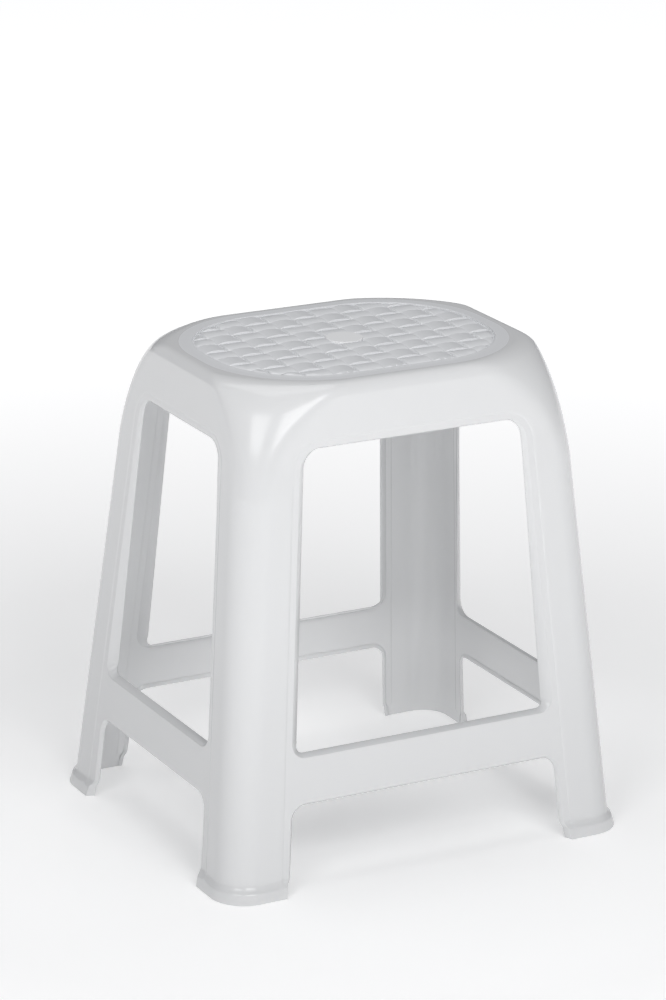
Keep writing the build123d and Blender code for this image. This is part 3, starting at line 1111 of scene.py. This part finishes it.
make_object("seat_rim_skin", rim_shell(), seat_white, ("seat_rim",))
make_object("seat_weave", panel_shell(), seat_white, ("seat_panel",))
make_object("centre_disc", boss_shell(), disc_painted_reflection_white, ("centre_boss",))

# Plain pale floor, in metres, that glows a little more with distance from the stool
FLOOR_HALF = 12.0
FLOOR_Z = -0.0005
FLOOR_CORNERS = ((-1, -1), (1, -1), (1, 1), (-1, 1))
FLOOR_SETTINGS = {
    "Base Color": (0.95, 0.95, 0.95, 1.0),
    "Roughness": 0.9,
    "Specular IOR Level": 0.1,
    "Emission Color": (1.0, 1.0, 1.0, 1.0),
}
GLOW_SETTINGS = {"From Min": 0.45, "From Max": 1.9, "To Min": 0.27, "To Max": 0.80}


def floor():
    mesh = bpy.data.meshes.new("floor")
    corners = [(x * FLOOR_HALF, y * FLOOR_HALF, FLOOR_Z) for x, y in FLOOR_CORNERS]
    mesh.from_pydata(corners, [], [(0, 1, 2, 3)])
    material = bpy.data.materials.new("floor_white")
    material.use_nodes = True
    nodes = material.node_tree.nodes
    links = material.node_tree.links
    shader = nodes["Principled BSDF"]
    place = nodes.new("ShaderNodeTexCoord")
    away = nodes.new("ShaderNodeVectorMath")
    away.operation = "LENGTH"
    glow = nodes.new("ShaderNodeMapRange")
    for node, settings in ((shader, FLOOR_SETTINGS), (glow, GLOW_SETTINGS)):
        for socket, value in settings.items():
            node.inputs[socket].default_value = value
    links.new(place.outputs["Object"], away.inputs[0])
    links.new(away.outputs["Value"], glow.inputs["Value"])
    links.new(glow.outputs["Result"], shader.inputs["Emission Strength"])
    mesh.materials.append(material)
    thing = bpy.data.objects.new("floor", mesh)
    bpy.context.scene.collection.objects.link(thing)


def softbox(name, place, target, width, height, power):
    """Rectangular light, in metres and watts, that faces its target."""
    data = bpy.data.lights.new(name, "AREA")
    data.shape = "RECTANGLE"
    data.size = width
    data.size_y = height
    data.energy = power
    thing = bpy.data.objects.new(name, data)
    away = Vector(place) - Vector(target)
    thing.matrix_world = Matrix.Translation(place) @ away.to_track_quat("Z", "Y").to_matrix().to_4x4()
    bpy.context.scene.collection.objects.link(thing)


def world_light(colour):
    world = bpy.data.worlds.new("studio")
    world.use_nodes = True
    back = world.node_tree.nodes["Background"]
    back.inputs["Color"].default_value = (*colour, 1.0)
    back.inputs["Strength"].default_value = 1.0
    bpy.context.scene.world = world


# Soft studio light. The standard view transform keeps near-white plastic white.
floor()
softbox("key", (-0.25, -2.8, 2.0), (0.0, 0.0, 0.3), width=1.7, height=1.5, power=36.0)
softbox("side", (-1.95, -1.5, 1.95), (0.0, 0.0, 0.4), width=1.1, height=1.3, power=16.0)
softbox("overhead", (0.0, 0.3, 2.5), (0.0, 0.0, 0.4), width=1.6, height=1.6, power=15.0)
world_light((0.15, 0.152, 0.16))
bpy.context.scene.view_settings.view_transform = "Standard"

# Camera: a long lens, a little above the seat, that looks at the front left corner
CAMERA_PLACE = Vector((-1.6364, -3.0060, 1.4279))
CAMERA_YAW = math.radians(28.42)
CAMERA_PITCH = math.radians(-18.30)
CAMERA_ROLL = math.radians(0.65)
CAMERA_LENS = 142.3
CAMERA_SENSOR = 36.0


def camera():
    forward = Vector((
        math.sin(CAMERA_YAW) * math.cos(CAMERA_PITCH),
        math.cos(CAMERA_YAW) * math.cos(CAMERA_PITCH),
        math.sin(CAMERA_PITCH),
    ))
    level = Vector((math.cos(CAMERA_YAW), -math.sin(CAMERA_YAW), 0.0))
    upward = level.cross(forward)
    right = level * math.cos(CAMERA_ROLL) + upward * math.sin(CAMERA_ROLL)
    above = upward * math.cos(CAMERA_ROLL) - level * math.sin(CAMERA_ROLL)
    turn = Matrix((right, above, -forward)).transposed().to_4x4()
    data = bpy.data.cameras.new("camera")
    data.lens = CAMERA_LENS
    data.sensor_width = CAMERA_SENSOR
    thing = bpy.data.objects.new("camera", data)
    thing.matrix_world = Matrix.Translation(CAMERA_PLACE) @ turn
    bpy.context.scene.collection.objects.link(thing)
    bpy.context.scene.camera = thing


camera()
